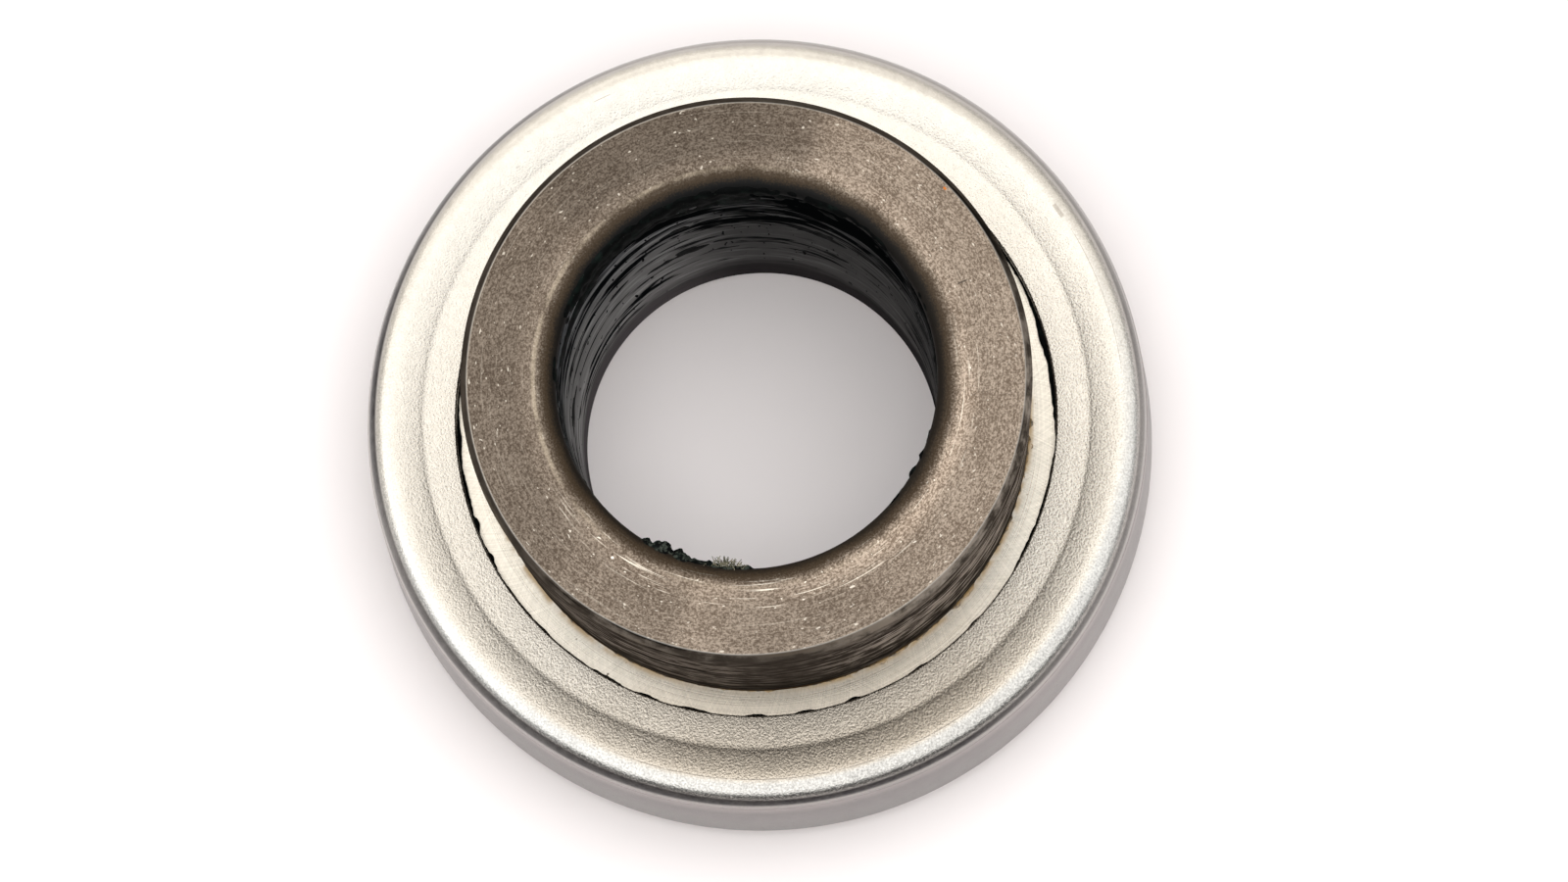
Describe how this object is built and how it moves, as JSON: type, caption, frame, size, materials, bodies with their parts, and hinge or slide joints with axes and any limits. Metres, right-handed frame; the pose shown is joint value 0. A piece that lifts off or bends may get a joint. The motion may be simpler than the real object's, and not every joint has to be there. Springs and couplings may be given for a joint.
{
  "type": "clutch release bearing",
  "caption": "Clutch release bearing: a thick dark hub sleeve with a plain bore, carrying a ball bearing in a drawn steel shell with a flat thrust face.",
  "frame": {"origin": "centre of the thrust face, on the bore's axis", "axes": "+Z along the bore from the thrust face to the hub's rear face; X and Y are free"},
  "size_m": [0.077, 0.077, 0.0434],
  "materials": {
    "hub_steel": "turned and heat-darkened steel, brushed rear face, greasy bore",
    "race_steel": "ground steel",
    "plated_shell": "satin plated sheet with a fine grain",
    "cage_nylon": "moulded nylon",
    "shield_steel": "pressed sheet",
    "ball_steel": "polished"
  },
  "bodies": {
    "hub": {"hub_sleeve": "hub_steel", "inner_race": "race_steel"},
    "outer": {"outer_race": "race_steel", "cover_shell": "plated_shell", "front_shield": "shield_steel"},
    "cage": {"ball_cage": "cage_nylon"},
    "ball_01": {"ball_01": "ball_steel"},
    "ball_02": {"ball_02": "ball_steel"},
    "ball_03": {"ball_03": "ball_steel"},
    "ball_04": {"ball_04": "ball_steel"},
    "ball_05": {"ball_05": "ball_steel"},
    "ball_06": {"ball_06": "ball_steel"},
    "ball_07": {"ball_07": "ball_steel"},
    "ball_08": {"ball_08": "ball_steel"},
    "ball_09": {"ball_09": "ball_steel"},
    "ball_10": {"ball_10": "ball_steel"},
    "ball_11": {"ball_11": "ball_steel"},
    "ball_12": {"ball_12": "ball_steel"},
    "ball_13": {"ball_13": "ball_steel"},
    "ball_14": {"ball_14": "ball_steel"},
    "ball_15": {"ball_15": "ball_steel"},
    "ball_16": {"ball_16": "ball_steel"},
    "ball_17": {"ball_17": "ball_steel"},
    "ball_18": {"ball_18": "ball_steel"},
    "ball_19": {"ball_19": "ball_steel"},
    "ball_20": {"ball_20": "ball_steel"}
  },
  "joints": [
    {"name": "bearing_spin", "type": "hinge", "parent": "hub", "child": "outer", "pos_m": [0, 0, 0], "axis": [0, 0, 1], "continuous": true},
    {"name": "cage_orbit", "type": "hinge", "parent": "hub", "child": "cage", "pos_m": [0, 0, 0], "axis": [0, 0, 1], "continuous": true},
    {"name": "ball_01_roll", "type": "hinge", "parent": "cage", "child": "ball_01", "pos_m": [0.03076, 0, 0.00907], "axis": [0.6428, 0, 0.766], "continuous": true},
    {"name": "ball_02_roll", "type": "hinge", "parent": "cage", "child": "ball_02", "pos_m": [0.02925, 0.0095, 0.00907], "axis": [0.6113, 0.1986, 0.766], "continuous": true},
    {"name": "ball_03_roll", "type": "hinge", "parent": "cage", "child": "ball_03", "pos_m": [0.02488, 0.01808, 0.00907], "axis": [0.52, 0.3778, 0.766], "continuous": true},
    {"name": "ball_04_roll", "type": "hinge", "parent": "cage", "child": "ball_04", "pos_m": [0.01808, 0.02488, 0.00907], "axis": [0.3778, 0.52, 0.766], "continuous": true},
    {"name": "ball_05_roll", "type": "hinge", "parent": "cage", "child": "ball_05", "pos_m": [0.0095, 0.02925, 0.00907], "axis": [0.1986, 0.6113, 0.766], "continuous": true},
    {"name": "ball_06_roll", "type": "hinge", "parent": "cage", "child": "ball_06", "pos_m": [0, 0.03076, 0.00907], "axis": [0, 0.6428, 0.766], "continuous": true},
    {"name": "ball_07_roll", "type": "hinge", "parent": "cage", "child": "ball_07", "pos_m": [-0.0095, 0.02925, 0.00907], "axis": [-0.1986, 0.6113, 0.766], "continuous": true},
    {"name": "ball_08_roll", "type": "hinge", "parent": "cage", "child": "ball_08", "pos_m": [-0.01808, 0.02488, 0.00907], "axis": [-0.3778, 0.52, 0.766], "continuous": true},
    {"name": "ball_09_roll", "type": "hinge", "parent": "cage", "child": "ball_09", "pos_m": [-0.02488, 0.01808, 0.00907], "axis": [-0.52, 0.3778, 0.766], "continuous": true},
    {"name": "ball_10_roll", "type": "hinge", "parent": "cage", "child": "ball_10", "pos_m": [-0.02925, 0.0095, 0.00907], "axis": [-0.6113, 0.1986, 0.766], "continuous": true},
    {"name": "ball_11_roll", "type": "hinge", "parent": "cage", "child": "ball_11", "pos_m": [-0.03076, 0, 0.00907], "axis": [-0.6428, 0, 0.766], "continuous": true},
    {"name": "ball_12_roll", "type": "hinge", "parent": "cage", "child": "ball_12", "pos_m": [-0.02925, -0.0095, 0.00907], "axis": [-0.6113, -0.1986, 0.766], "continuous": true},
    {"name": "ball_13_roll", "type": "hinge", "parent": "cage", "child": "ball_13", "pos_m": [-0.02488, -0.01808, 0.00907], "axis": [-0.52, -0.3778, 0.766], "continuous": true},
    {"name": "ball_14_roll", "type": "hinge", "parent": "cage", "child": "ball_14", "pos_m": [-0.01808, -0.02488, 0.00907], "axis": [-0.3778, -0.52, 0.766], "continuous": true},
    {"name": "ball_15_roll", "type": "hinge", "parent": "cage", "child": "ball_15", "pos_m": [-0.0095, -0.02925, 0.00907], "axis": [-0.1986, -0.6113, 0.766], "continuous": true},
    {"name": "ball_16_roll", "type": "hinge", "parent": "cage", "child": "ball_16", "pos_m": [0, -0.03076, 0.00907], "axis": [0, -0.6428, 0.766], "continuous": true},
    {"name": "ball_17_roll", "type": "hinge", "parent": "cage", "child": "ball_17", "pos_m": [0.0095, -0.02925, 0.00907], "axis": [0.1986, -0.6113, 0.766], "continuous": true},
    {"name": "ball_18_roll", "type": "hinge", "parent": "cage", "child": "ball_18", "pos_m": [0.01808, -0.02488, 0.00907], "axis": [0.3778, -0.52, 0.766], "continuous": true},
    {"name": "ball_19_roll", "type": "hinge", "parent": "cage", "child": "ball_19", "pos_m": [0.02488, -0.01808, 0.00907], "axis": [0.52, -0.3778, 0.766], "continuous": true},
    {"name": "ball_20_roll", "type": "hinge", "parent": "cage", "child": "ball_20", "pos_m": [0.02925, -0.0095, 0.00907], "axis": [0.6113, -0.1986, 0.766], "continuous": true}
  ],
  "couplings": [
    {"joint": "cage_orbit", "follows": "bearing_spin", "ratio": 0.54944},
    {"joint": "ball_01_roll", "follows": "bearing_spin", "ratio": 3.8359},
    {"joint": "ball_02_roll", "follows": "bearing_spin", "ratio": 3.8359},
    {"joint": "ball_03_roll", "follows": "bearing_spin", "ratio": 3.8359},
    {"joint": "ball_04_roll", "follows": "bearing_spin", "ratio": 3.8359},
    {"joint": "ball_05_roll", "follows": "bearing_spin", "ratio": 3.8359},
    {"joint": "ball_06_roll", "follows": "bearing_spin", "ratio": 3.8359},
    {"joint": "ball_07_roll", "follows": "bearing_spin", "ratio": 3.8359},
    {"joint": "ball_08_roll", "follows": "bearing_spin", "ratio": 3.8359},
    {"joint": "ball_09_roll", "follows": "bearing_spin", "ratio": 3.8359},
    {"joint": "ball_10_roll", "follows": "bearing_spin", "ratio": 3.8359},
    {"joint": "ball_11_roll", "follows": "bearing_spin", "ratio": 3.8359},
    {"joint": "ball_12_roll", "follows": "bearing_spin", "ratio": 3.8359},
    {"joint": "ball_13_roll", "follows": "bearing_spin", "ratio": 3.8359},
    {"joint": "ball_14_roll", "follows": "bearing_spin", "ratio": 3.8359},
    {"joint": "ball_15_roll", "follows": "bearing_spin", "ratio": 3.8359},
    {"joint": "ball_16_roll", "follows": "bearing_spin", "ratio": 3.8359},
    {"joint": "ball_17_roll", "follows": "bearing_spin", "ratio": 3.8359},
    {"joint": "ball_18_roll", "follows": "bearing_spin", "ratio": 3.8359},
    {"joint": "ball_19_roll", "follows": "bearing_spin", "ratio": 3.8359},
    {"joint": "ball_20_roll", "follows": "bearing_spin", "ratio": 3.8359}
  ]
}
